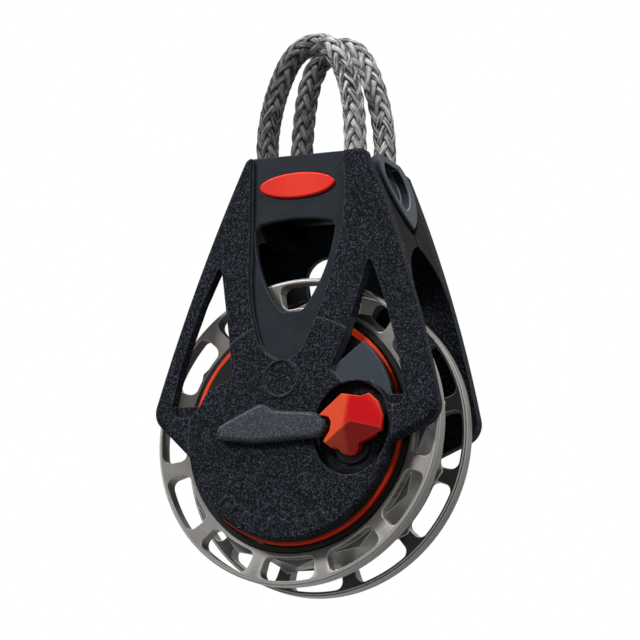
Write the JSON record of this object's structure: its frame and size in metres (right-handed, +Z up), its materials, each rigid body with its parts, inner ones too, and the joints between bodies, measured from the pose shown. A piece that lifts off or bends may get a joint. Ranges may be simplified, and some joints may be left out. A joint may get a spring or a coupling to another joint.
{
  "type": "single ratchet sheave block",
  "caption": "Single ball-bearing ratchet block with spoked alloy sheave, black cheeks, red selector knob and soft rope link.",
  "frame": {"origin": "centre of the sheave: on its axle, midway between the two flanges", "axes": "+Z up from the axle to the rope link, +Y along the axle from the selector side to the rear side, +X to the right seen from the selector side"},
  "size_m": [0.0557, 0.0233, 0.1028],
  "materials": {
    "filled_nylon": "coarse speckled moulding grain, black glass-filled nylon",
    "smooth_nylon": "smooth satin dark grey moulding",
    "alloy": "hard anodised satin aluminium",
    "red_plastic": "satin red-orange acetal",
    "black_acetal": "smooth black acetal",
    "cage_plastic": "natural nylon",
    "ball": "white acetal balls",
    "stainless": "machined stainless steel",
    "spring_steel": "bright spring steel",
    "rope": "braided grey high-modulus rope"
  },
  "bodies": {
    "block_frame": {"front_cheek": "filled_nylon", "rear_cheek": "filled_nylon", "head_post": "smooth_nylon", "badge": "red_plastic", "hub_drum": "black_acetal", "front_inner_race": "red_plastic", "rear_inner_race": "red_plastic", "front_race_cover": "black_acetal", "rear_race_cover": "black_acetal", "switch_guard": "smooth_nylon", "selector_bush": "black_acetal", "hub_bolt": "stainless", "hub_insert": "stainless", "hub_screws": "stainless", "head_screws": "stainless", "pawl_pins": "stainless", "pawl_springs": "spring_steel", "link_front_arch": "rope", "link_rear_arch": "rope", "link_left_turn": "rope", "link_right_turn": "rope"},
    "sheave": {"sheave": "alloy", "ratchet_ring": "stainless", "front_outer_race": "black_acetal", "rear_outer_race": "black_acetal"},
    "ball_cages": {"front_ball_cage": "cage_plastic", "front_balls": "ball", "rear_ball_cage": "cage_plastic", "rear_balls": "ball"},
    "selector": {"selector_knob": "red_plastic", "selector_crank": "stainless"},
    "shift_ring": {"shift_ring": "stainless"},
    "pawl_a": {"pawl_a": "stainless"},
    "pawl_b": {"pawl_b": "stainless"}
  },
  "joints": [
    {"name": "sheave_spin", "type": "hinge", "parent": "block_frame", "child": "sheave", "pos_m": [0, 0, 0], "axis": [0, 1, 0], "continuous": true},
    {"name": "cage_spin", "type": "hinge", "parent": "block_frame", "child": "ball_cages", "pos_m": [0, 0, 0], "axis": [0, 1, 0], "continuous": true},
    {"name": "selector_turn", "type": "hinge", "parent": "block_frame", "child": "selector", "pos_m": [0.0117, 0, -0.0034], "axis": [0, 1, 0], "range_deg": [0, 60]},
    {"name": "shift_turn", "type": "hinge", "parent": "block_frame", "child": "shift_ring", "pos_m": [0, 0, 0], "axis": [0, 1, 0], "range_deg": [-15, 0]},
    {"name": "pawl_a_swing", "type": "hinge", "parent": "block_frame", "child": "pawl_a", "pos_m": [0.00378, 0, 0.0141], "axis": [0, 1, 0], "range_deg": [0, 15.5]},
    {"name": "pawl_b_swing", "type": "hinge", "parent": "block_frame", "child": "pawl_b", "pos_m": [-0.00378, 0, -0.0141], "axis": [0, 1, 0], "range_deg": [0, 15.5]}
  ],
  "couplings": [
    {"joint": "cage_spin", "follows": "sheave_spin", "ratio": 0.525},
    {"joint": "shift_turn", "follows": "selector_turn", "ratio": -0.2488},
    {"joint": "pawl_a_swing", "follows": "selector_turn", "ratio": 0.2583},
    {"joint": "pawl_b_swing", "follows": "selector_turn", "ratio": 0.2583}
  ]
}
